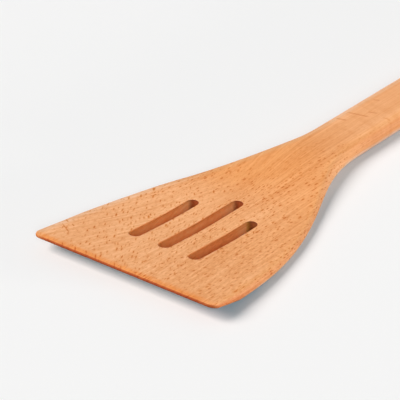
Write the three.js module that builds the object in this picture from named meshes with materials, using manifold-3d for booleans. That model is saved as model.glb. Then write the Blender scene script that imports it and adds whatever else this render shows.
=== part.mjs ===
// A slotted kitchen spatula, shaped from one flat board of beech.
// Millimetres, +Z up. The handle runs along +Y and lies flat on z = 0. The blade is at the -Y end and is
// turned up a little towards its front edge. The origin is under the middle of the whole length.
import * as THREE from 'three';
import { mergeVertices } from 'three/addons/utils/BufferGeometryUtils.js';
import Module from 'manifold-3d';

// Plan outline, measured back from the front edge
const LENGTH = 300;
const BLADE_WIDTH = 80;
const FRONT_CORNER_RADIUS = 3;
const SHOULDER_REACH = 73;
const NECK_REACH = 39.5;
const NECK_END = 130;
const HANDLE_WIDTH = 21.5;
const HANDLE_END_RADIUS = 9;

// Side profile
const BLADE_TURN_UP_DEGREES = 4.1;
const HEEL_REACH = 43.8;
const HEEL_BEND = 24;
const BLADE_THICKNESS = 4.6;
const BEVEL_LENGTH = 15;
const FRONT_EASE_LENGTH = 3;
const FRONT_EASE_DROP = 0.5;
const FRONT_EDGE_THICKNESS = 1;
const RAMP_START = 70;
const RAMP_END = 114;
const HANDLE_THICKNESS = 8.5;

// Rounding of the long edges
const BLADE_EDGE_RADIUS = 2;
const HANDLE_EDGE_RADIUS = 3.5;

// Slots through the blade
const SLOT_WIDTH = 4.9;
const SLOT_PITCH = 13.2;
const SLOT_FRONT = 21.5;
const SIDE_SLOT_LENGTH = 36.7;
const MIDDLE_SLOT_LENGTH = 46;

// Fineness of the facets
const CORNER_STEPS = 5;
const END_STEPS = 9;
const ROUNDING_STEPS = 4;
const SLOT_END_STEPS = 10;
const SHAPED_STEP = 4.5;
const STRAIGHT_STEP = 40;

// The largest share of the wood's thickness, and of the handle's half width, that a rounding may take
const MOST_OF_THICKNESS = 0.45;
const MOST_OF_HALF_WIDTH = 0.9;
// How far a slot's cutter stands out of both faces
const CUT_MARGIN = 2;

const BEECH = { color: 0xe9a774, roughness: 0.62, metalness: 0 };

const turnUp = Math.tan(THREE.MathUtils.degToRad(BLADE_TURN_UP_DEGREES));
const heelStart = HEEL_REACH - HEEL_BEND / 2;
const heelEnd = HEEL_REACH + HEEL_BEND / 2;
const rampShare = (y) => THREE.MathUtils.smoothstep(y, RAMP_START, RAMP_END);

// How far the turn-up lifts the wood: straight in front of the heel, with a soft bend down to the table.
function liftAt(y) {
  if (y <= heelStart) {
    return turnUp * (HEEL_REACH - y);
  }
  if (y >= heelEnd) {
    return 0;
  }
  return (turnUp * (heelEnd - y) ** 2) / (2 * HEEL_BEND);
}

// Height of the upper face: eased at the front edge, the even blade, then an S ramp up to the level handle.
function topAt(y) {
  const ease = FRONT_EASE_DROP * Math.max(1 - y / FRONT_EASE_LENGTH, 0) ** 2;
  return liftAt(y) + THREE.MathUtils.lerp(BLADE_THICKNESS, HANDLE_THICKNESS, rampShare(y)) - ease;
}

// Height of the lower face: flat under neck and handle, turned up under the blade, bevelled at the front.
function undersideAt(y) {
  const bevelRise = BLADE_THICKNESS - FRONT_EASE_DROP - FRONT_EDGE_THICKNESS;
  return liftAt(y) + bevelRise * Math.max(1 - y / BEVEL_LENGTH, 0);
}

function edgeRadiusAt(y) {
  const radius = THREE.MathUtils.lerp(BLADE_EDGE_RADIUS, HANDLE_EDGE_RADIUS, rampShare(y));
  return Math.min(radius, MOST_OF_THICKNESS * (topAt(y) - undersideAt(y)));
}

// One side of the blade, from its front corner to the handle, as a single S curve.
const flank = new THREE.CubicBezierCurve(
  new THREE.Vector2(BLADE_WIDTH / 2, FRONT_CORNER_RADIUS),
  new THREE.Vector2(BLADE_WIDTH / 2, FRONT_CORNER_RADIUS + SHOULDER_REACH),
  new THREE.Vector2(HANDLE_WIDTH / 2, NECK_END - NECK_REACH),
  new THREE.Vector2(HANDLE_WIDTH / 2, NECK_END),
);

// The place on the flank at distance y, found by halving, because the curve never turns forwards again.
function flankAt(y) {
  let low = 0;
  let high = 1;
  while (high - low > Number.EPSILON) {
    const middle = (low + high) / 2;
    if (flank.getPoint(middle).y < y) {
      low = middle;
    } else {
      high = middle;
    }
  }
  const tangent = flank.getTangent(low);
  return { x: flank.getPoint(low).x, y, normal: new THREE.Vector2(tangent.y, -tangent.x) };
}

function handleSideAt(y) {
  return { x: HANDLE_WIDTH / 2, y, normal: new THREE.Vector2(1, 0) };
}

function quarterArc(centreX, centreY, radius, startAngle, steps) {
  return Array.from({ length: steps + 1 }, (_, i) => {
    const angle = startAngle + (Math.PI / 2) * (i / steps);
    const normal = new THREE.Vector2(Math.cos(angle), Math.sin(angle));
    return { x: centreX + radius * normal.x, y: centreY + radius * normal.y, normal };
  });
}

// Distances between two places, split evenly, without the first one.
function evenly(from, to, step) {
  const count = Math.max(1, Math.round((to - from) / step));
  return Array.from({ length: count }, (_, i) => from + ((to - from) * (i + 1)) / count);
}

// The right-hand outline from the front edge to the end of the handle, with its outward normals.
function rightOutline() {
  const endRadius = Math.min(HANDLE_END_RADIUS, (MOST_OF_HALF_WIDTH * HANDLE_WIDTH) / 2);
  const handleEnd = LENGTH - endRadius;
  const bends = [FRONT_EASE_LENGTH, BEVEL_LENGTH, heelStart, heelEnd, RAMP_START, RAMP_END, NECK_END];
  const marks = [...new Set(bends)].filter((y) => y > FRONT_CORNER_RADIUS).sort((a, b) => a - b);
  const distances = [];
  let from = FRONT_CORNER_RADIUS;
  for (const mark of marks) {
    distances.push(...evenly(from, mark, SHAPED_STEP));
    from = mark;
  }
  distances.push(...evenly(from, handleEnd, STRAIGHT_STEP));
  const side = distances.map((y) => (y < NECK_END ? flankAt(y) : handleSideAt(y)));
  const cornerX = BLADE_WIDTH / 2 - FRONT_CORNER_RADIUS;
  const endX = HANDLE_WIDTH / 2 - endRadius;
  return [
    ...quarterArc(cornerX, FRONT_CORNER_RADIUS, FRONT_CORNER_RADIUS, -Math.PI / 2, CORNER_STEPS),
    ...side,
    ...quarterArc(endX, handleEnd, endRadius, 0, END_STEPS).slice(1),
  ];
}

// The wood's edge at one place of the outline, from the lower face round to the upper face.
function edgePoints({ x, y, normal }) {
  const radius = edgeRadiusAt(y);
  const points = [];
  for (let i = 0; i <= 2 * ROUNDING_STEPS + 1; i += 1) {
    const upper = i > ROUNDING_STEPS;
    const step = upper ? i - ROUNDING_STEPS - 1 : ROUNDING_STEPS - i;
    const angle = (Math.PI / 2) * (step / ROUNDING_STEPS);
    const inset = radius * (1 - Math.cos(angle));
    const drop = radius * (1 - Math.sin(angle));
    const placeY = y - normal.y * inset;
    const height = upper ? topAt(placeY) - drop : undersideAt(placeY) + drop;
    points.push([x - normal.x * inset, placeY, height]);
  }
  return points;
}

// The whole blank as one closed body: walls round the outline, and cross strips for the two faces.
function blankGeometry() {
  const right = rightOutline().map(edgePoints);
  const left = right.map((points) => points.map(([x, y, z]) => [-x, y, z]));
  const loop = [...right, ...left.toReversed()];
  const perPlace = loop[0].length;
  const last = loop.length - 1;
  const vertex = (place, k) => place * perPlace + k;
  const index = [];
  const quad = (a, b, c, d) => index.push(a, b, c, a, c, d);
  for (let place = 0; place < loop.length; place += 1) {
    const next = (place + 1) % loop.length;
    for (let k = 0; k < perPlace - 1; k += 1) {
      quad(vertex(place, k), vertex(next, k), vertex(next, k + 1), vertex(place, k + 1));
    }
  }
  const top = perPlace - 1;
  for (let place = 0; place < right.length - 1; place += 1) {
    const across = last - place;
    quad(vertex(place, top), vertex(place + 1, top), vertex(across - 1, top), vertex(across, top));
    quad(vertex(across, 0), vertex(across - 1, 0), vertex(place + 1, 0), vertex(place, 0));
  }
  const geometry = new THREE.BufferGeometry();
  geometry.setAttribute('position', new THREE.Float32BufferAttribute(loop.flat(2), 3));
  geometry.setIndex(index);
  return geometry;
}

// A round-ended cutter that stands through the blade.
function slotGeometry(x, length) {
  const radius = SLOT_WIDTH / 2;
  const shape = new THREE.Shape();
  shape.absarc(x, SLOT_FRONT + radius, radius, Math.PI, 2 * Math.PI, false);
  shape.absarc(x, SLOT_FRONT + length - radius, radius, 0, Math.PI, false);
  shape.closePath();
  const depth = Math.max(HANDLE_THICKNESS, topAt(FRONT_EASE_LENGTH)) + 2 * CUT_MARGIN;
  const settings = { depth, bevelEnabled: false, curveSegments: SLOT_END_STEPS };
  const geometry = new THREE.ExtrudeGeometry(shape, settings);
  geometry.translate(0, 0, -CUT_MARGIN);
  geometry.deleteAttribute('normal');
  geometry.deleteAttribute('uv');
  return mergeVertices(geometry);
}

const wasm = await Module();
wasm.setup();

function toSolid(geometry) {
  const vertProperties = Float32Array.from(geometry.attributes.position.array);
  const triVerts = Uint32Array.from(geometry.index.array);
  return new wasm.Manifold(new wasm.Mesh({ numProp: 3, vertProperties, triVerts }));
}

function toGeometry(solid) {
  const { vertProperties, triVerts } = solid.getMesh();
  const geometry = new THREE.BufferGeometry();
  geometry.setAttribute('position', new THREE.BufferAttribute(vertProperties, 3));
  geometry.setIndex(new THREE.BufferAttribute(triVerts, 1));
  geometry.computeVertexNormals();
  return geometry;
}

const slots = [
  slotGeometry(-SLOT_PITCH, SIDE_SLOT_LENGTH),
  slotGeometry(0, MIDDLE_SLOT_LENGTH),
  slotGeometry(SLOT_PITCH, SIDE_SLOT_LENGTH),
];
const slotted = slots.reduce((solid, slot) => solid.subtract(toSolid(slot)), toSolid(blankGeometry()));

const body = new THREE.Mesh(toGeometry(slotted), new THREE.MeshStandardMaterial(BEECH));
body.name = 'spatula_body';
body.position.y = -LENGTH / 2;

const group = new THREE.Group();
group.add(body);

export default group;
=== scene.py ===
import math

import bpy
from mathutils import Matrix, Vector


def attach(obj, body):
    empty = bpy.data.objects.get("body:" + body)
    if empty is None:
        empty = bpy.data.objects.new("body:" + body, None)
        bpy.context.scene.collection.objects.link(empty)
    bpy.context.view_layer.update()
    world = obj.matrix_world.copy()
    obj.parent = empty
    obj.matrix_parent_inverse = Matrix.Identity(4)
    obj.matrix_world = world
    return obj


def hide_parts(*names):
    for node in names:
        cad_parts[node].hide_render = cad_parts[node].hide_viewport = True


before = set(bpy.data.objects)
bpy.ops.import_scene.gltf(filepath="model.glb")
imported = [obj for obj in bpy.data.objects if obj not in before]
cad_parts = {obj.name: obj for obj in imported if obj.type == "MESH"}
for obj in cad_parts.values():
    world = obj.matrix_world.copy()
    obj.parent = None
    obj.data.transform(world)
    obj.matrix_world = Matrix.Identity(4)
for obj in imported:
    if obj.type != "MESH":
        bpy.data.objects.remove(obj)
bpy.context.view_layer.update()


# The spatula body
# One flat board of beech, sawn to its outline, planed to a thin blade that ramps up to a thicker handle,
# rounded along its edges, slotted by a cutter and sanded. Nothing is joined to it.
MM = 0.001
LENGTH = 300 * MM
FRONT_Y = -LENGTH / 2
BLADE_WIDTH = 80 * MM
FRONT_CORNER_RADIUS = 3 * MM
SHOULDER_REACH = 73 * MM
NECK_REACH = 39.5 * MM
NECK_END = 130 * MM
HANDLE_WIDTH = 21.5 * MM
HANDLE_END_RADIUS = 9 * MM

CORNER_STEPS = 10
FLANK_STEPS = 120
HANDLE_STEPS = 40
END_STEPS = 14
COLUMNS = 48
ROUNDING_STEPS = 6


def arc_places(centre_x, centre_y, radius, first_angle, steps):
    """Places on a quarter of a circle, each with its outward normal."""
    places = []
    for i in range(steps + 1):
        angle = first_angle + math.pi / 2 * i / steps
        normal = (math.cos(angle), math.sin(angle))
        places.append((centre_x + radius * normal[0], centre_y + radius * normal[1], normal))
    return places


def flank_place(share):
    """One place on the S curve from the front corner to the handle, with its outward normal."""
    line = (
        Vector((BLADE_WIDTH / 2, FRONT_CORNER_RADIUS)),
        Vector((BLADE_WIDTH / 2, FRONT_CORNER_RADIUS + SHOULDER_REACH)),
        Vector((HANDLE_WIDTH / 2, NECK_END - NECK_REACH)),
        Vector((HANDLE_WIDTH / 2, NECK_END)),
    )
    rest = 1 - share
    point = rest**3 * line[0] + 3 * rest**2 * share * line[1]
    point = point + 3 * rest * share**2 * line[2] + share**3 * line[3]
    along = rest**2 * (line[1] - line[0]) + 2 * rest * share * (line[2] - line[1])
    along = along + share**2 * (line[3] - line[2])
    along.normalize()
    return point.x, point.y, (along.y, -along.x)


def sawn_outline():
    """The right-hand half of the outline, measured back from the front edge to the handle's end."""
    corner_x = BLADE_WIDTH / 2 - FRONT_CORNER_RADIUS
    end_x = HANDLE_WIDTH / 2 - HANDLE_END_RADIUS
    handle_end = LENGTH - HANDLE_END_RADIUS
    places = arc_places(corner_x, FRONT_CORNER_RADIUS, FRONT_CORNER_RADIUS, -math.pi / 2, CORNER_STEPS)
    places += [flank_place(i / FLANK_STEPS) for i in range(1, FLANK_STEPS + 1)]
    for i in range(1, HANDLE_STEPS):
        y = NECK_END + (handle_end - NECK_END) * i / HANDLE_STEPS
        places.append((HANDLE_WIDTH / 2, y, (1.0, 0.0)))
    places += arc_places(end_x, handle_end, HANDLE_END_RADIUS, 0.0, END_STEPS)
    return places


def sawn_board():
    """The board as it leaves the saw: flat, with what the shaping needs kept on each vertex."""
    outline = sawn_outline()
    vertices, across, facing, turn, upper = [], [], [], [], []

    def vertex(place, share, angle, is_upper):
        """Adds a vertex at a place of the outline and gives its number."""
        x, y, normal = outline[place]
        vertices.append((x, FRONT_Y + y, 0.0))
        across.append(share)
        facing.extend((normal[0], normal[1], 0.0))
        turn.append(angle)
        upper.append(is_upper)
        return len(vertices) - 1

    columns = [2 * i / COLUMNS - 1 for i in range(COLUMNS + 1)]
    quarter = [math.pi / 2 * k / ROUNDING_STEPS for k in range(ROUNDING_STEPS)]
    down_the_edge = [(angle, 1.0) for angle in reversed(quarter)] + [(angle, 0.0) for angle in quarter]
    up_the_edge = list(reversed(down_the_edge))
    top, right, bottom, left = [], [], [], []
    for place in range(len(outline)):
        top.append([vertex(place, share, math.pi / 2, 1.0) for share in columns])
        right.append([vertex(place, 1.0, *step) for step in down_the_edge])
        bottom.append([vertex(place, share, math.pi / 2, 0.0) for share in reversed(columns)])
        left.append([vertex(place, -1.0, *step) for step in up_the_edge])
    faces = []
    loops = [top[i] + right[i] + bottom[i] + left[i] for i in range(len(outline))]
    for near, far in zip(loops, loops[1:]):
        for k in range(len(near)):
            after = (k + 1) % len(near)
            faces.append((near[k], near[after], far[after], far[k]))

    def close_end(place, is_front):
        """Closes the front or the handle's end with an upright strip under each column."""
        walls = [[top[place][0]] + left[place][::-1] + [bottom[place][-1]]]
        for i in range(1, COLUMNS):
            wall = [vertex(place, columns[i], *step) for step in down_the_edge]
            walls.append([top[place][i]] + wall + [bottom[place][COLUMNS - i]])
        walls.append([top[place][-1]] + right[place] + [bottom[place][0]])
        for one, other in zip(walls, walls[1:]):
            for k in range(len(one) - 1):
                face = (one[k], one[k + 1], other[k + 1], other[k])
                faces.append(face if is_front else face[::-1])

    close_end(0, True)
    close_end(len(outline) - 1, False)
    mesh = bpy.data.meshes.new("sawn_board")
    mesh.from_pydata(vertices, [], faces)
    for name, kind, values, field in (
        ("across", "FLOAT", across, "value"),
        ("facing", "FLOAT_VECTOR", facing, "vector"),
        ("turn", "FLOAT", turn, "value"),
        ("upper", "FLOAT", upper, "value"),
    ):
        mesh.attributes.new(name, kind, "POINT").data.foreach_set(field, values)
    return mesh


class Measure:
    """A number in a node tree that can be added and multiplied, so that a rule reads as it is written."""

    def __init__(self, tree, socket):
        self.tree = tree
        self.socket = socket

    def made(self, operation, *values):
        """A new measure from one Math node."""
        node = self.tree.nodes.new("ShaderNodeMath")
        node.operation = operation
        for value, place in zip(values, node.inputs):
            if isinstance(value, Measure):
                self.tree.links.new(value.socket, place)
            else:
                place.default_value = value
        return Measure(self.tree, node.outputs[0])

    def __add__(self, other):
        return self.made("ADD", self, other)

    def __radd__(self, other):
        return self.made("ADD", other, self)

    def __sub__(self, other):
        return self.made("SUBTRACT", self, other)

    def __rsub__(self, other):
        return self.made("SUBTRACT", other, self)

    def __mul__(self, other):
        return self.made("MULTIPLY", self, other)

    def __rmul__(self, other):
        return self.made("MULTIPLY", other, self)

    def __truediv__(self, other):
        return self.made("DIVIDE", self, other)

    def at_least(self, other):
        return self.made("MAXIMUM", self, other)

    def at_most(self, other):
        return self.made("MINIMUM", self, other)

    def above(self, other):
        return self.made("GREATER_THAN", self, other)

    def below(self, other):
        return self.made("LESS_THAN", self, other)

    def size(self):
        return self.made("ABSOLUTE", self)

    def sine(self):
        return self.made("SINE", self)

    def cosine(self):
        return self.made("COSINE", self)

    def eased(self, none, full):
        """0 where this is at none, 1 where it is at full, with a smooth change between."""
        node = self.tree.nodes.new("ShaderNodeMapRange")
        node.interpolation_type = "SMOOTHSTEP"
        low, high = (none, full) if none < full else (full, none)
        node.inputs["From Min"].default_value = low
        node.inputs["From Max"].default_value = high
        node.inputs["To Min"].default_value = 0.0 if none < full else 1.0
        node.inputs["To Max"].default_value = 1.0 if none < full else 0.0
        self.tree.links.new(self.socket, node.inputs["Value"])
        return Measure(self.tree, node.outputs["Result"])

    def between(self, none, full):
        """none where this share is 0, full where it is 1."""
        return none + (full - none) * self


def new_tree(name, sizes):
    """A Geometry Nodes tree with one mesh in, one mesh out and a named input for each size."""
    tree = bpy.data.node_groups.new(name, "GeometryNodeTree")
    tree.interface.new_socket(name="Geometry", in_out="INPUT", socket_type="NodeSocketGeometry")
    tree.interface.new_socket(name="Geometry", in_out="OUTPUT", socket_type="NodeSocketGeometry")
    for size in sizes:
        tree.interface.new_socket(name=size, in_out="INPUT", socket_type="NodeSocketFloat")
    return tree, tree.nodes.new("NodeGroupInput"), tree.nodes.new("NodeGroupOutput")


def run_tree(piece, tree, sizes):
    """Hangs a tree on a piece and sets its sizes by their sockets' identifiers."""
    modifier = piece.modifiers.new(tree.name, "NODES")
    modifier.node_group = tree
    for socket in tree.interface.items_tree:
        if socket.in_out == "INPUT" and socket.name in sizes:
            modifier[socket.identifier] = sizes[socket.name]


def placed(tree, x, y, z):
    """A point in a tree from three measures or plain numbers."""
    node = tree.nodes.new("ShaderNodeCombineXYZ")
    for value, place in zip((x, y, z), node.inputs):
        if isinstance(value, Measure):
            tree.links.new(value.socket, place)
        else:
            place.default_value = value
    return node.outputs[0]


def split(tree, socket):
    """The three measures of a point in a tree."""
    node = tree.nodes.new("ShaderNodeSeparateXYZ")
    tree.links.new(socket, node.inputs[0])
    return [Measure(tree, output) for output in node.outputs]


def kept_on_vertices(tree, name, kind):
    """What each vertex keeps under this name."""
    node = tree.nodes.new("GeometryNodeInputNamedAttribute")
    node.data_type = kind
    node.inputs["Name"].default_value = name
    return node.outputs["Attribute"]


SHAPE_SIZES = {
    "Blade thickness": 4.6 * MM,
    "Blade turn up": math.tan(math.radians(4.1)),
    "Heel reach": 43.8 * MM,
    "Heel bend": 24 * MM,
    "Bevel length": 15 * MM,
    "Front ease length": 3 * MM,
    "Front ease drop": 0.5 * MM,
    "Front edge thickness": 1 * MM,
    "Ramp start": 70 * MM,
    "Ramp end": 114 * MM,
    "Handle thickness": 8.5 * MM,
    "Blade edge radius": 2 * MM,
    "Handle edge radius": 3.5 * MM,
    "Most of thickness": 0.45,
}


def shaping_tree():
    """Planes the flat board to its side profile and rounds its edges."""
    tree, given, result = new_tree("planed_profile", SHAPE_SIZES)
    size = {name: Measure(tree, given.outputs[name]) for name in SHAPE_SIZES}
    thin = size["Blade thickness"]
    bend = size["Heel bend"]
    lip = size["Front edge thickness"]
    drop = size["Front ease drop"]

    def ramp_share(y):
        """How far up the S ramp from the blade to the handle a place is."""
        share = (y - size["Ramp start"]) / (size["Ramp end"] - size["Ramp start"])
        share = share.at_least(0.0).at_most(1.0)
        return share * share * (3.0 - 2.0 * share)

    def lift_at(y):
        """How far the turn-up lifts the wood, with a soft bend at the heel."""
        ahead = size["Heel reach"] - y
        bent = (ahead + bend / 2.0).at_least(0.0).at_most(bend)
        return size["Blade turn up"] * (bent * bent / (bend * 2.0) + (ahead - bend / 2.0).at_least(0.0))

    def top_at(y):
        """Height of the upper face, eased at the front edge."""
        ease = (1.0 - y / size["Front ease length"]).at_least(0.0)
        rise = (size["Handle thickness"] - thin) * ramp_share(y)
        return thin + lift_at(y) + rise - drop * ease * ease

    def underside_at(y):
        """Height of the lower face, bevelled at the front."""
        bevel = (1.0 - y / size["Bevel length"]).at_least(0.0)
        return lift_at(y) + (thin - drop - lip) * bevel

    def radius_at(y):
        """Rounding of the long edges, which leaves some of a thin edge upright."""
        wide = size["Blade edge radius"]
        wide = wide + (size["Handle edge radius"] - wide) * ramp_share(y)
        return wide.at_most(size["Most of thickness"] * (top_at(y) - underside_at(y)))

    position = tree.nodes.new("GeometryNodeInputPosition")
    x, y, _ = split(tree, position.outputs[0])
    y = y - FRONT_Y
    facing_x, facing_y, _ = split(tree, kept_on_vertices(tree, "facing", "FLOAT_VECTOR"))
    turn = Measure(tree, kept_on_vertices(tree, "turn", "FLOAT"))
    upper = Measure(tree, kept_on_vertices(tree, "upper", "FLOAT"))
    across = Measure(tree, kept_on_vertices(tree, "across", "FLOAT"))
    radius = radius_at(y)
    inset = radius * (1.0 - turn.cosine())
    rounded = radius * (1.0 - turn.sine())
    new_y = y - facing_y * inset
    above = top_at(new_y) - rounded
    below = underside_at(new_y) + rounded
    mover = tree.nodes.new("GeometryNodeSetPosition")
    tree.links.new(given.outputs["Geometry"], mover.inputs["Geometry"])
    tree.links.new(
        placed(tree, across * (x - facing_x * inset), new_y + FRONT_Y, below + upper * (above - below)),
        mover.inputs["Position"],
    )
    tree.links.new(mover.outputs[0], result.inputs[0])
    return tree


SLOT_SIZES = {
    "Slot width": 4.9 * MM,
    "Slot pitch": 13.2 * MM,
    "Slot front": 21.5 * MM,
    "Side slot length": 36.7 * MM,
    "Middle slot length": 46 * MM,
    "Mouth rounding": 0.15 * MM,
    "Cutter below": -4 * MM,
    "Cutter above": 14 * MM,
}
SLOTS = 3
MIDDLE_SLOT = 1.0
HALF_A_COUNT = 0.5
SLOT_END_POINTS = 64
SLOT_STEP = 0.6 * MM
MOUTH_STEPS = 5
MOUTH_EXIT = 0.03
PROBE_REACH = 1.0
SAME_PLACE = 0.001 * MM


def slotting_tree(wood):
    """Cuts the round-ended drain slots, with slightly eased mouths that follow both faces of the blade."""
    tree, given, result = new_tree("drain_slots", SLOT_SIZES)
    size = {name: Measure(tree, given.outputs[name]) for name in SLOT_SIZES}
    board = given.outputs["Geometry"]
    link = tree.links.new

    def node(kind, **settings):
        """A new node with these settings."""
        made = tree.nodes.new(kind)
        for name, value in settings.items():
            setattr(made, name, value)
        return made

    def stored(geometry, name, kind, value):
        """The geometry with a value kept on each of its points."""
        keeper = node("GeometryNodeStoreNamedAttribute", data_type=kind, domain="POINT")
        keeper.inputs["Name"].default_value = name
        link(geometry, keeper.inputs["Geometry"])
        link(value, keeper.inputs["Value"])
        return keeper.outputs["Geometry"]

    # One ring for each slot, drawn out to the slot's length
    middle_y = size["Slot front"] + size["Slot width"] / 2.0 + FRONT_Y
    row = node("GeometryNodeMeshLine", mode="OFFSET")
    row.inputs["Count"].default_value = SLOTS
    link(placed(tree, size["Slot pitch"] * -1.0, middle_y, 0.0), row.inputs["Start Location"])
    link(placed(tree, size["Slot pitch"], 0.0, 0.0), row.inputs["Offset"])
    index = Measure(tree, node("GeometryNodeInputIndex").outputs[0])
    is_middle = index.made("COMPARE", index, MIDDLE_SLOT, HALF_A_COUNT)
    length = size["Side slot length"] + is_middle * (size["Middle slot length"] - size["Side slot length"])
    centres = stored(row.outputs[0], "stretch", "FLOAT", (length - size["Slot width"]).socket)
    ring = node("GeometryNodeCurvePrimitiveCircle", mode="RADIUS")
    ring.inputs["Resolution"].default_value = SLOT_END_POINTS
    link((size["Slot width"] / 2.0).socket, ring.inputs["Radius"])
    setter = node("GeometryNodeInstanceOnPoints")
    link(centres, setter.inputs["Points"])
    link(ring.outputs[0], setter.inputs["Instance"])
    rings = node("GeometryNodeRealizeInstances")
    link(setter.outputs[0], rings.inputs[0])

    position = node("GeometryNodeInputPosition").outputs[0]
    _, ring_y, _ = split(tree, position)
    stretch = Measure(tree, kept_on_vertices(tree, "stretch", "FLOAT"))
    longer = node("GeometryNodeSetPosition")
    link(rings.outputs[0], longer.inputs["Geometry"])
    link(placed(tree, 0.0, stretch * ring_y.above(middle_y), 0.0), longer.inputs["Offset"])
    finer = node("GeometryNodeResampleCurve", mode="LENGTH")
    link(longer.outputs[0], finer.inputs["Curve"])
    finer.inputs["Length"].default_value = SLOT_STEP
    along_x, along_y, _ = split(tree, node("GeometryNodeInputTangent").outputs[0])
    line = stored(finer.outputs[0], "outward", "FLOAT_VECTOR", placed(tree, along_y, along_x * -1.0, 0.0))
    line = stored(line, "plan", "FLOAT_VECTOR", position)

    # The cutter's wall in numbered rows, whose places are set below, so the stick may have any length
    rows = 2 * (MOUTH_STEPS + 2)
    stick = node("GeometryNodeCurvePrimitiveLine")
    stick.inputs["End"].default_value = (0.0, MM, 0.0)
    notched = node("GeometryNodeResampleCurve", mode="COUNT")
    link(stick.outputs[0], notched.inputs["Curve"])
    notched.inputs["Count"].default_value = rows
    stick_line = stored(notched.outputs[0], "row", "FLOAT", node("GeometryNodeInputIndex").outputs[0])
    wall = node("GeometryNodeCurveToMesh")
    link(line, wall.inputs["Curve"])
    link(stick_line, wall.inputs["Profile Curve"])

    # Each row's turn round the eased mouth; the last row of each half is the cutter's own end
    plan_x, plan_y, _ = split(tree, kept_on_vertices(tree, "plan", "FLOAT_VECTOR"))
    out_x, out_y, _ = split(tree, kept_on_vertices(tree, "outward", "FLOAT_VECTOR"))
    row_number = (rows - 1.0) - Measure(tree, kept_on_vertices(tree, "row", "FLOAT"))
    is_upper = row_number.above(rows / 2 - HALF_A_COUNT)
    step = is_upper * (2.0 * row_number - (rows - 1.0)) + (rows / 2 - 1.0) - row_number
    angle = (step / MOUTH_STEPS).at_most(1.0) * (math.pi / 2)
    is_last = step.above(MOUTH_STEPS + HALF_A_COUNT)
    rounding = size["Mouth rounding"]
    out = rounding * (1.0 - angle.cosine() * (1.0 - is_last))
    wall_x = plan_x + out_x * out
    wall_y = plan_y + out_y * out

    def face_height(from_z, direction):
        """Height at which a probe from above or below meets the board."""
        probe = node("GeometryNodeRaycast", data_type="FLOAT")
        link(board, probe.inputs["Target Geometry"])
        link(placed(tree, wall_x, wall_y, from_z), probe.inputs["Source Position"])
        probe.inputs["Ray Direction"].default_value = (0.0, 0.0, direction)
        return split(tree, probe.outputs["Hit Position"])[2]

    eased = rounding * (1.0 - MOUTH_EXIT - angle.sine())
    upper_z = face_height(PROBE_REACH, -1.0) - eased
    upper_z = upper_z + is_last * (size["Cutter above"] - upper_z)
    lower_z = face_height(-PROBE_REACH, 1.0) + eased
    lower_z = lower_z + is_last * (size["Cutter below"] - lower_z)
    flared = node("GeometryNodeSetPosition")
    link(wall.outputs[0], flared.inputs["Geometry"])
    link(placed(tree, wall_x, wall_y, lower_z + is_upper * (upper_z - lower_z)), flared.inputs["Position"])

    # A lid on both ends of each cutter
    lid_line = node("GeometryNodeSetPosition")
    link(line, lid_line.inputs["Geometry"])
    link(placed(tree, plan_x + out_x * rounding, plan_y + out_y * rounding, 0.0), lid_line.inputs["Position"])
    lid = node("GeometryNodeFillCurve", mode="NGONS")
    link(lid_line.outputs[0], lid.inputs["Curve"])
    turned = node("GeometryNodeFlipFaces")
    link(lid.outputs[0], turned.inputs["Mesh"])
    joined = node("GeometryNodeJoinGeometry")
    link(flared.outputs[0], joined.inputs[0])
    for cover, height in ((turned, "Cutter below"), (lid, "Cutter above")):
        lifted = node("GeometryNodeSetPosition")
        link(cover.outputs[0], lifted.inputs["Geometry"])
        link(placed(tree, 0.0, 0.0, size[height]), lifted.inputs["Offset"])
        link(lifted.outputs[0], joined.inputs[0])
    cutters = node("GeometryNodeMergeByDistance")
    link(joined.outputs[0], cutters.inputs["Geometry"])
    cutters.inputs["Distance"].default_value = SAME_PLACE

    cut = node("GeometryNodeMeshBoolean", operation="DIFFERENCE", solver="EXACT")
    link(board, cut.inputs["Mesh 1"])
    link(cutters.outputs[0], cut.inputs["Mesh 2"])
    smooth = node("GeometryNodeSetShadeSmooth")
    link(cut.outputs[0], smooth.inputs["Geometry"])
    single = node("GeometryNodeRealizeInstances")
    link(smooth.outputs[0], single.inputs[0])
    finish = node("GeometryNodeSetMaterial")
    finish.inputs["Material"].default_value = wood
    link(single.outputs[0], finish.inputs["Geometry"])
    link(finish.outputs[0], result.inputs[0])
    return tree


# The ground colours of the wood, then tints that the ground is multiplied by
PALE_WOOD = (0.926, 0.480, 0.228)
DEEP_WOOD = (0.735, 0.306, 0.100)
WARM_TONE_AND_RAMP_SHADE_WOOD = (0.895, 0.76, 0.53)
FLECK_WOOD = (0.68, 0.38, 0.0)
HALO_WOOD = (0.97, 0.90, 0.76)
FRONT_SHADE_WOOD = (0.88, 0.66, 0.37)
CORNER_WOOD = (0.86, 0.46, 0.13)
END_GRAIN_AND_SHADE_WOOD = (0.48, 0.22, 0.03)
WALL_SHADE_WOOD = (1.03, 0.90, 0.80)
HANDLE_EDGE_SHADE_WOOD = (0.97, 0.90, 0.80)
NECK_WALL_LIGHT_WOOD = (1.06, 1.10, 1.10)
LOW_RIM_BOUNCE_LIGHT_WOOD = (1.04, 1.26, 1.95)
LEFT_EDGE_SHEEN_WOOD = (0.97, 1.12, 1.42)
MOUTH_SHADE_WOOD = (0.72, 0.66, 0.60)
SLOT_SHADE_WOOD = (1.20, 0.88, 0.50)
LOW_SLOT_BOUNCE_LIGHT_WOOD = (1.04, 1.18, 1.50)
NEAR_SLOT_END_LIGHT_WOOD = (1.10, 1.25, 1.25)
SLOT_END_HIGHLIGHT_WOOD = (1.0, 1.18, 1.5)
SLOT_END_SHADE_WOOD = (0.25, 0.098, 0.0)
RIGHT_SLOT_END_SHADE_WOOD = (0.75, 0.90, 0.0)

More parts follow.
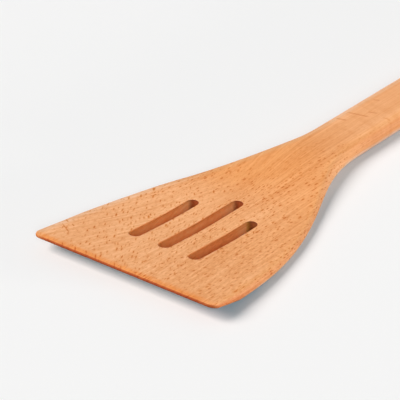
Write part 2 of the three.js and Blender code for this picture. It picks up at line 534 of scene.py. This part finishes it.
# Width, length and thickness of each pattern in the ground, in millimetres, and how deeply it shows
GRAIN_LINE, GRAIN_LINE_DEPTH = (0.8, 24.0, 4.0), 1.4
MOTTLE, BLADE_MOTTLE_DEPTH, NECK_MOTTLE_DEPTH = (0.9, 2.2, 4.0), 1.05, 0.6
STREAK, NECK_STREAK_DEPTH, HANDLE_STREAK_DEPTH = (1.1, 80.0, 4.0), 1.0, 0.65
BAND, BAND_DEPTH, BAND_DRIFT = (4.5, 90.0, 4.0), 0.7, 0.03
PATCH, PATCH_DEPTH = (11.0, 24.0, 16.0), 0.6
RIPPLE, RIPPLE_DEPTH, RIPPLE_DRIFT = (26.0, 2.6, 6.0), 0.2, 0.2
PORE = (0.42, 1.7, 2.0)
GRAIN_LEAN = 17
MIDDLE_TONE = 0.5
ONE_FINER_LAYER = 1.0
RAMP_SHADE_WARMTH = 0.18
HANDLE_WARMTH = 0.25

# The ray flecks: width and length of the cell that may hold one, in millimetres, and how dark it is
STRAIGHT_FLECK, STRAIGHT_DARKNESS, MOST_DARKNESS = (1.6, 3.6), 2.0, 0.95
SLANTED_FLECK, SLANTED_DARKNESS, FLECK_LEAN = (1.4, 5.6), 1.2, -36
FINE_FLECK, FINE_DARKNESS, FINE_SHARE, FINE_HALO = (1.0, 2.2), 0.75, 0.7, 0.4
FLECK_ROW = (1.6, 26.0, 6.0)
WANDER, WANDER_REACH, FINE_WANDER = (7.0, 14.0, 7.0), 2.0, 0.5
SMALLEST_FLECK, LARGEST_FLECK = 0.15, 0.32
FAINTEST_FLECK = 0.35
LEFT_CALM = 0.35

# Fine strokes: middle across and back, length and width in millimetres, lean in degrees, strength
STROKES = (
    (-33.6, 10.4, 7.6, 0.8, 119, 0.8),
    (-37.3, 15.2, 2.6, 0.8, 119, 0.8),
    (-33.4, 14.0, 2.4, 0.8, 119, 0.8),
    (-2.6, 148.1, 10.4, 1.6, 80, 0.5),
    (0.8, 153.1, 4.2, 1.6, 72, 0.45),
    (-5.5, 140.4, 5.2, 1.6, 76, 0.5),
    (-4.4, 163.9, 3.0, 1.6, 64, 0.45),
    (8.0, 152.0, 3.6, 1.5, 70, 0.36),
)

# Width of the painted sheen on the left edge, and raggedness of the painted shade at the front edge, in
# millimetres
BLADE_SHEEN_WIDTH, HANDLE_SHEEN_WIDTH = 3.2, 1.2
FRONT_SHADE_RAGGEDNESS = 4.0

# Finish: roughness of the oiled wood and what lines, flecks and end grain add to it, and their bump
OILED_ROUGHNESS = 0.55
LINE_ROUGHNESS = 0.3
FLECK_ROUGHNESS = 0.12
END_GRAIN_ROUGHNESS = 0.3
BUMP_STRENGTH = 0.3
BUMP_HEIGHT = 0.05 * MM
LINE_HEIGHT = 0.3
FLECK_SINK = 0.25

# Where a place is on the board: across, along and up in millimetres, back from the front edge, and which
# way the surface faces, from 1, up, to -1, down. The regions below are given in these numbers.
# The grain turns over the long edges without a break, so it reads a measure that runs on round the edge.
beech = bpy.data.materials.new("oiled_beech")
beech.use_nodes = True
grain = beech.node_tree
spot = grain.nodes.new("ShaderNodeTexCoord")
x, y, z = [measure * (1 / MM) for measure in split(grain, spot.outputs["Object"])]
_, facing_along, facing_up = split(grain, spot.outputs["Normal"])
back = y - FRONT_Y / MM
TURN_OVER = 8.0
over_the_edge = SHAPE_SIZES["Handle thickness"] / MM - z
round_the_edge = x + over_the_edge * (x / TURN_OVER).at_least(-1.0).at_most(1.0)


def cloud(across, along, size, detail=0.0):
    """Soft noise from 0 to 1, in clouds of this width, length and thickness."""
    width, length, thickness = size
    node = grain.nodes.new("ShaderNodeTexNoise")
    node.noise_dimensions = "3D"
    node.inputs["Scale"].default_value = 1.0
    node.inputs["Detail"].default_value = detail
    place = placed(grain, across / width, along / length, z / thickness)
    grain.links.new(place, node.inputs["Vector"])
    return Measure(grain, node.outputs["Fac"])


def leaning(across, along, degrees):
    """Measures across and along a direction that leans to the right of the handle's."""
    lean = math.radians(degrees)
    return (
        across * math.cos(lean) - along * math.sin(lean),
        across * math.sin(lean) + along * math.cos(lean),
    )


def scattered(across, along):
    """How far the nearest of many scattered points is, and three random numbers of that point."""
    node = grain.nodes.new("ShaderNodeTexVoronoi")
    node.voronoi_dimensions = "2D"
    node.inputs["Scale"].default_value = 1.0
    grain.links.new(placed(grain, across, along, 0.0), node.inputs["Vector"])
    numbers = grain.nodes.new("ShaderNodeSeparateColor")
    grain.links.new(node.outputs["Color"], numbers.inputs[0])
    return Measure(grain, node.outputs["Distance"]), [Measure(grain, one) for one in numbers.outputs]


def flecks(across, along, cell, share):
    """Short dark ends of the wood's rays, as spindles in this share of the cells.

    Gives the dark core of each fleck and the warm halo round it.
    """
    width, length = cell
    distance, (chance, bulk, darkness) = scattered(across / width, along / length)
    reach = bulk.between(SMALLEST_FLECK, LARGEST_FLECK)
    strength = chance.below(share) * darkness.between(FAINTEST_FLECK, 1.0)
    core = (1.0 - distance / reach).eased(0.0, 0.7) * strength
    halo = (1.0 - distance / (reach * 2.0)).eased(0.0, 0.8) * strength
    return core, halo


def stroke(middle_x, middle_back, length, width, degrees):
    """One fine stroke across the grain of the upper face, with this length about its middle."""
    across, along = leaning(x - middle_x, back - middle_back, degrees)
    fade_across = (1.0 - across.size() / (width / 2)).eased(0.0, 0.8)
    fade_along = (1.0 - along.size() / (length / 2)).eased(0.0, 0.4)
    return fade_across * fade_along * facing_up.eased(0.3, 0.8)


# Where a Mix node takes its share and two colours, and gives the mixed colour
MIX_SHARE, MIX_FIRST, MIX_SECOND, MIXED = 0, 6, 7, 2


def tinted(ground, tint, share):
    """A colour drawn towards its product with a tint."""
    node = grain.nodes.new("ShaderNodeMix")
    node.data_type = "RGBA"
    node.blend_type = "MULTIPLY"
    grain.links.new(share.socket, node.inputs[MIX_SHARE])
    grain.links.new(ground, node.inputs[MIX_FIRST])
    node.inputs[MIX_SECOND].default_value = (*tint, 1.0)
    return node.outputs[MIXED]


# The ground: grain lines that lean on the left of the blade, mottle, streaks, bands, patches and pores
on_blade = back.eased(175.0, 95.0)
left_of_blade = x.eased(8.0, -22.0) * back.eased(115.0, 70.0)
lean_across, lean_along = leaning(round_the_edge, y, GRAIN_LEAN)
straight_lines = cloud(round_the_edge, y, GRAIN_LINE, ONE_FINER_LAYER)
leaning_lines = cloud(lean_across, lean_along, GRAIN_LINE, ONE_FINER_LAYER)
lines = straight_lines + left_of_blade * (leaning_lines - straight_lines) - MIDDLE_TONE
mottle = cloud(round_the_edge, y, MOTTLE, ONE_FINER_LAYER) - MIDDLE_TONE
mottle_depth = back.eased(55.0, 90.0).between(BLADE_MOTTLE_DEPTH, NECK_MOTTLE_DEPTH)
streaks = (cloud(round_the_edge, y, STREAK, ONE_FINER_LAYER) - MIDDLE_TONE) * back.eased(50.0, 85.0)
streak_depth = back.eased(115.0, 145.0).between(NECK_STREAK_DEPTH, HANDLE_STREAK_DEPTH)
bands = cloud(round_the_edge + y * BAND_DRIFT, y, BAND, ONE_FINER_LAYER) - MIDDLE_TONE
patches = cloud(x, y, PATCH, ONE_FINER_LAYER) - MIDDLE_TONE
ripples = cloud(x - y * RIPPLE_DRIFT, y + x * RIPPLE_DRIFT, RIPPLE).eased(0.5, 0.75)
ripples = ripples * back.eased(120.0, 150.0)
porous = x.eased(-16.0, 6.0).between(0.2, 1.0) * back.eased(70.0, 35.0).between(0.3, 0.9)
pores = (cloud(round_the_edge, y, PORE) - MIDDLE_TONE) * porous
tone = (lines * GRAIN_LINE_DEPTH + mottle * mottle_depth) * on_blade.between(0.3, 1.0)
tone = tone + streaks * streak_depth + pores
tone = tone + bands * BAND_DEPTH + patches * PATCH_DEPTH + ripples * RIPPLE_DEPTH + MIDDLE_TONE
timber = grain.nodes.new("ShaderNodeMix")
timber.data_type = "RGBA"
timber.inputs[MIX_FIRST].default_value = (*PALE_WOOD, 1.0)
timber.inputs[MIX_SECOND].default_value = (*DEEP_WOOD, 1.0)
grain.links.new(tone.at_least(0.0).at_most(1.0).socket, timber.inputs[MIX_SHARE])

# Warmer wood on the neck, on the right of the blade and on the handle; on the ramp and neck top it is partly
# painted shade
warm_neck = back.eased(52.0, 92.0) * back.eased(150.0, 108.0) * x.eased(20.0, -18.0).between(0.45, 1.27)
ramp_shade = back.eased(84.0, 97.0) * back.eased(122.0, 104.0) * RAMP_SHADE_WARMTH
warm_right = x.eased(-2.0, 30.0) * back.eased(105.0, 70.0) * back.eased(40.0, 20.0).between(0.55, 0.33)
warm_handle = back.eased(135.0, 160.0) * HANDLE_WARMTH
warm = (warm_neck + ramp_shade) * facing_up.eased(0.4, 0.95) + warm_right + warm_handle
colour = tinted(timber.outputs[MIXED], WARM_TONE_AND_RAMP_SHADE_WOOD, warm.at_most(1.0))

# Ray flecks: in rows along the grain, slanted on the left front of the blade, and fine ones everywhere
slanted = x.eased(25.0, -10.0) * back.eased(75.0, 35.0)
thinner_left = x.eased(-38.0, -14.0).between(0.25, 0.9)
fewer_right = (x.eased(8.0, 26.0) * back.eased(52.0, 30.0)).between(1.0, 0.7)
wander = (cloud(x, y, WANDER) - MIDDLE_TONE) * WANDER_REACH
rows = cloud(round_the_edge + wander, y, FLECK_ROW).eased(0.38, 0.58)
row_share = (1.0 - slanted) * rows.between(0.15, 0.95) * on_blade.between(0.35, 1.0) * fewer_right
straight_core, straight_halo = flecks(round_the_edge + wander, y, STRAIGHT_FLECK, row_share)
slant_across, slant_along = leaning(round_the_edge, y, FLECK_LEAN)
slanted_core, slanted_halo = flecks(slant_across + wander, slant_along, SLANTED_FLECK, thinner_left * slanted)
fine_core, fine_halo = flecks(round_the_edge + wander * FINE_WANDER, y, FINE_FLECK, FINE_SHARE)
dark = (straight_core * STRAIGHT_DARKNESS).at_most(MOST_DARKNESS)
dark = dark.at_least(slanted_core * SLANTED_DARKNESS).at_least(fine_core * FINE_DARKNESS)
dark = dark * back.eased(145.0, 108.0).between(0.25, 1.0)
dark = dark * back.eased(45.0, 18.0).between(1.0, 0.85) * x.eased(10.0, 26.0).between(1.0, 0.75)
halo = straight_halo.at_least(slanted_halo).at_least(fine_halo * FINE_HALO) * on_blade.between(0.3, 1.0)

# No flecks on the slots' walls, fewer on the neck, and a few fine strokes at the left tip and the handle
by_the_slots = x.size().eased(18.0, 17.0) * back.eased(20.0, 21.0) * back.eased(69.0, 68.0)
slot_wall = by_the_slots * facing_up.size().eased(0.75, 0.35)
calm = back.eased(80.0, 98.0) * x.eased(10.0, 2.0).between(0.25, 0.65)
calm = calm + back.eased(55.0, 88.0) * x.eased(6.0, -14.0) * LEFT_CALM
dark = dark * (1.0 - slot_wall) * (1.0 - calm)
for middle_x, middle_back, stroke_length, stroke_width, degrees, strength in STROKES:
    dark = dark.at_least(stroke(middle_x, middle_back, stroke_length, stroke_width, degrees) * strength)
colour = tinted(colour, HALO_WOOD, halo * (1.0 - slot_wall))
colour = tinted(colour, FLECK_WOOD, dark)

# The long sides: redder walls as painted shading, painted shade on the handle's rounded edges, painted light
# on the neck's walls and painted bounce light along the lower rim
end_grain = facing_along.size().eased(0.2, 0.8)
on_side = facing_up.eased(-0.97, -0.8) * (1.0 - slot_wall) * (1.0 - end_grain)
low_rim = facing_up.eased(0.02, -0.35)
handle_edge_shade = back.eased(110.0, 140.0) * facing_up.eased(0.8, 0.45) * facing_up.eased(-0.3, -0.05)
neck_wall_light = back.eased(62.0, 82.0) * back.eased(140.0, 118.0) * facing_up.eased(0.8, 0.4)
colour = tinted(colour, WALL_SHADE_WOOD, on_side * facing_up.eased(0.9, 0.5) * (1.0 - low_rim))
colour = tinted(colour, HANDLE_EDGE_SHADE_WOOD, on_side * handle_edge_shade)
# Painted light: paler walls at the neck
colour = tinted(colour, NECK_WALL_LIGHT_WOOD, on_side * neck_wall_light)
# Painted bounce light from the table: a pale lower rounding
colour = tinted(colour, LOW_RIM_BOUNCE_LIGHT_WOOD, on_side * low_rim)

# Edges and ends: painted sheen on the left edge, the dark right front corner, painted shade along the front
# edge, and darker end grain
share_across = grain.nodes.new("ShaderNodeAttribute")
share_across.attribute_name = "across"
from_edge = x.size() / Measure(grain, share_across.outputs["Fac"]).size() - x.size()
sheen_width = back.eased(85.0, 130.0).between(BLADE_SHEEN_WIDTH, HANDLE_SHEEN_WIDTH)
left_edge_sheen = (from_edge / sheen_width).eased(1.0, 0.0) * x.eased(0.0, -4.0) * facing_up.eased(0.2, 0.6)
corner = x.eased(20.0, 30.0) * back.eased(38.0, 4.0) * facing_up.eased(0.7, -0.4)
# Painted shade: a deeper orange, ragged band on the rounded front edge
front = (back + mottle * FRONT_SHADE_RAGGEDNESS).eased(3.4, 0.6) * x.eased(30.0, 37.0).between(1.0, 0.4)
# End grain is darker; on the front wall the darkening is also painted shade
dark_end = end_grain * (1.0 - slot_wall) * x.eased(-39.0, -33.0).between(0.3, 1.0)
colour = tinted(colour, LEFT_EDGE_SHEEN_WOOD, left_edge_sheen)
colour = tinted(colour, CORNER_WOOD, corner * (1.0 - end_grain))
colour = tinted(colour, FRONT_SHADE_WOOD, front)
colour = tinted(colour, END_GRAIN_AND_SHADE_WOOD, dark_end)

# The slots: painted shade on the mouths, red walls in painted shade with painted light lower down and near
# the ends, and painted shade on the far ends
blade_lift = (SHAPE_SIZES["Heel reach"] / MM - back).at_least(0.0) * SHAPE_SIZES["Blade turn up"]
below_face = SHAPE_SIZES["Blade thickness"] / MM + blade_lift - z
side_slot_end = (SLOT_SIZES["Slot front"] + SLOT_SIZES["Side slot length"]) / MM
middle_slot_more = (SLOT_SIZES["Middle slot length"] - SLOT_SIZES["Side slot length"]) / MM
in_middle_slot = x.size().below(SLOT_SIZES["Slot pitch"] / MM / 2)
to_slot_end = side_slot_end + middle_slot_more * in_middle_slot - back
right_slot = x.eased(6.0, 12.0)
slot_mouth = by_the_slots * facing_up.size().eased(0.99, 0.9) * below_face.eased(0.7, 0.25)
# Where painted bounce light from the table falls on the slot walls
slot_bounce = below_face.eased(0.2, 2.0) * back.eased(23.0, 33.0)
slot_bounce = slot_bounce * (right_slot * back.eased(52.0, 40.0)).between(1.0, 0.3)
near_end = facing_along.eased(0.0, 0.35)
far_end = (facing_along * -1.0).eased(0.05, 0.9)
# Painted shade on the eased mouths
colour = tinted(colour, MOUTH_SHADE_WOOD, slot_mouth)
# Painted shade and red interreflection on the slot walls
colour = tinted(colour, SLOT_SHADE_WOOD, slot_wall)
# Painted bounce light on the lower slot walls
colour = tinted(colour, LOW_SLOT_BOUNCE_LIGHT_WOOD, slot_wall * slot_bounce)
# Painted light on the slots' near ends
colour = tinted(colour, NEAR_SLOT_END_LIGHT_WOOD, slot_wall * near_end)
# Painted highlight on the walls just before the far ends
colour = tinted(colour, SLOT_END_HIGHLIGHT_WOOD, slot_wall * to_slot_end.eased(9.0, 4.0))
# Painted shade on the far ends, deepest in the right slot
colour = tinted(colour, SLOT_END_SHADE_WOOD, slot_wall * far_end)
colour = tinted(colour, RIGHT_SLOT_END_SHADE_WOOD, slot_wall * far_end * right_slot)

shader = grain.nodes["Principled BSDF"]
grain.links.new(colour, shader.inputs["Base Color"])
roughness = OILED_ROUGHNESS + lines * LINE_ROUGHNESS + dark * FLECK_ROUGHNESS
roughness = roughness + end_grain * END_GRAIN_ROUGHNESS
grain.links.new(roughness.socket, shader.inputs["Roughness"])
bump = grain.nodes.new("ShaderNodeBump")
bump.inputs["Strength"].default_value = BUMP_STRENGTH
bump.inputs["Distance"].default_value = BUMP_HEIGHT
grain.links.new((lines * LINE_HEIGHT - dark * FLECK_SINK).socket, bump.inputs["Height"])
grain.links.new(bump.outputs["Normal"], shader.inputs["Normal"])

# The finished piece keeps only the share across, which the painted sheen on the left edge reads
SHAPING_MARKS = ("facing", "turn", "upper", "stretch", "outward", "plan", "row")
board = sawn_board()
board.materials.append(beech)
blank = bpy.data.objects.new("blank", board)
bpy.context.scene.collection.objects.link(blank)
run_tree(blank, shaping_tree(), SHAPE_SIZES)
run_tree(blank, slotting_tree(beech), SLOT_SIZES)
graph = bpy.context.evaluated_depsgraph_get()
body_mesh = bpy.data.meshes.new_from_object(blank.evaluated_get(graph))
body_mesh.name = "beech_body"
bpy.data.objects.remove(blank)
for mark in SHAPING_MARKS:
    body_mesh.attributes.remove(body_mesh.attributes[mark])
body = bpy.data.objects.new("beech_body", body_mesh)
bpy.context.scene.collection.objects.link(body)
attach(body, "root")
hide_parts("spatula_body")


# The table
# A wide pale sheet of matt paper under the spatula, which catches its soft shadow. Where it is seen, a faint
# cool glow evens out the warm light. For other rays it is darker. It isn't part of the object.
TABLE_HALF = 4.0
TABLE_Z = -0.05 * MM
SEEN_PAPER = (0.897, 0.850, 0.820)
SEEN_PAPER_GLOW = (0.0, 0.057, 0.089)
UNSEEN_PAPER = (0.22, 0.22, 0.22)
table_mesh = bpy.data.meshes.new("table")
table_mesh.from_pydata(
    [
        (-TABLE_HALF, -TABLE_HALF, TABLE_Z),
        (TABLE_HALF, -TABLE_HALF, TABLE_Z),
        (TABLE_HALF, TABLE_HALF, TABLE_Z),
        (-TABLE_HALF, TABLE_HALF, TABLE_Z),
    ],
    [],
    [(0, 1, 2, 3)],
)
table = bpy.data.objects.new("table", table_mesh)
bpy.context.scene.collection.objects.link(table)


def seen_or_not(tree, unseen, seen):
    """One shader for what the camera sees, also in gloss and glass, and another for all other rays."""
    path = tree.nodes.new("ShaderNodeLightPath")
    share = Measure(tree, path.outputs["Is Camera Ray"])
    for ray in ("Is Glossy Ray", "Is Transmission Ray"):
        share = share.at_least(Measure(tree, path.outputs[ray]))
    either = tree.nodes.new("ShaderNodeMixShader")
    tree.links.new(share.socket, either.inputs[0])
    tree.links.new(unseen.outputs[0], either.inputs[1])
    tree.links.new(seen.outputs[0], either.inputs[2])
    return either.outputs[0]


paper = bpy.data.materials.new("paper")
paper.use_nodes = True
sheet = paper.node_tree
sheet.nodes.remove(sheet.nodes["Principled BSDF"])
seen_sheet = sheet.nodes.new("ShaderNodeBsdfDiffuse")
seen_sheet.inputs["Color"].default_value = (*SEEN_PAPER, 1.0)
glow = sheet.nodes.new("ShaderNodeEmission")
glow.inputs["Color"].default_value = (*SEEN_PAPER_GLOW, 1.0)
lit_sheet = sheet.nodes.new("ShaderNodeAddShader")
sheet.links.new(seen_sheet.outputs[0], lit_sheet.inputs[0])
sheet.links.new(glow.outputs[0], lit_sheet.inputs[1])
unseen_sheet = sheet.nodes.new("ShaderNodeBsdfDiffuse")
unseen_sheet.inputs["Color"].default_value = (*UNSEEN_PAPER, 1.0)
either_sheet = seen_or_not(sheet, unseen_sheet, lit_sheet)
sheet.links.new(either_sheet, sheet.nodes["Material Output"].inputs["Surface"])
table_mesh.materials.append(paper)


# The light
# A soft warm key from the left of the blade, a weaker cool fill from the right of it, a faint lamp that
# stands low on the right for the sake of the upright walls, and an even pale surround.
SURROUND_TINT = (0.85, 1.0, 1.05)
SURROUND_LEVEL = 0.145
SEEN_SURROUND = (0.905, 0.905, 0.905)


def soft_lamp(name, azimuth, elevation, level, spread, tint):
    """A broad lamp that gives a flat table this level of light, from a direction seen from the table."""
    lamp = bpy.data.lights.new(name, "SUN")
    lamp.energy = level * math.pi / math.sin(math.radians(elevation))
    lamp.angle = math.radians(spread)
    lamp.color = tint
    holder = bpy.data.objects.new(name, lamp)
    bpy.context.scene.collection.objects.link(holder)
    holder.rotation_euler = (math.radians(90 - elevation), 0.0, math.radians(azimuth))


soft_lamp("key", azimuth=329, elevation=44, level=0.698, spread=36, tint=(1.09, 1.0, 0.965))
soft_lamp("fill", azimuth=44, elevation=28, level=0.135, spread=20, tint=(0.78, 1.0, 1.08))
soft_lamp("side", azimuth=108, elevation=2.5, level=0.03, spread=5, tint=(1.0, 1.0, 1.0))
surround = bpy.data.worlds.new("surround")
surround.use_nodes = True
sky = surround.node_tree
plain_light = sky.nodes["Background"]
plain_light.inputs["Color"].default_value = (*SURROUND_TINT, 1.0)
plain_light.inputs["Strength"].default_value = SURROUND_LEVEL
seen_surround = sky.nodes.new("ShaderNodeBackground")
seen_surround.inputs["Color"].default_value = (*SEEN_SURROUND, 1.0)
either_surround = seen_or_not(sky, plain_light, seen_surround)
sky.links.new(either_surround, sky.nodes["World Output"].inputs["Surface"])
bpy.context.scene.world = surround


# The camera
# A long lens, above the right-hand front corner of the blade, that looks down along the handle.
VIEW_AZIMUTH = math.radians(38.011)
VIEW_ELEVATION = math.radians(28.079)
VIEW_DISTANCE = 648.5 * MM
VIEW_TARGET = Vector((-12.910, -89.899, 4.0)) * MM
FOCAL_LENGTH = 160.562
SENSOR_WIDTH = 36.0
NEAREST_SEEN = 0.01
lens = bpy.data.cameras.new("camera")
lens.lens = FOCAL_LENGTH
lens.sensor_width = SENSOR_WIDTH
lens.clip_start = NEAREST_SEEN
camera = bpy.data.objects.new("camera", lens)
bpy.context.scene.collection.objects.link(camera)
camera.location = VIEW_TARGET + VIEW_DISTANCE * Vector(
    (
        math.sin(VIEW_AZIMUTH) * math.cos(VIEW_ELEVATION),
        -math.cos(VIEW_AZIMUTH) * math.cos(VIEW_ELEVATION),
        math.sin(VIEW_ELEVATION),
    )
)
camera.rotation_euler = (math.pi / 2 - VIEW_ELEVATION, 0.0, VIEW_AZIMUTH)
bpy.context.scene.camera = camera
bpy.context.scene.view_settings.view_transform = "Standard"
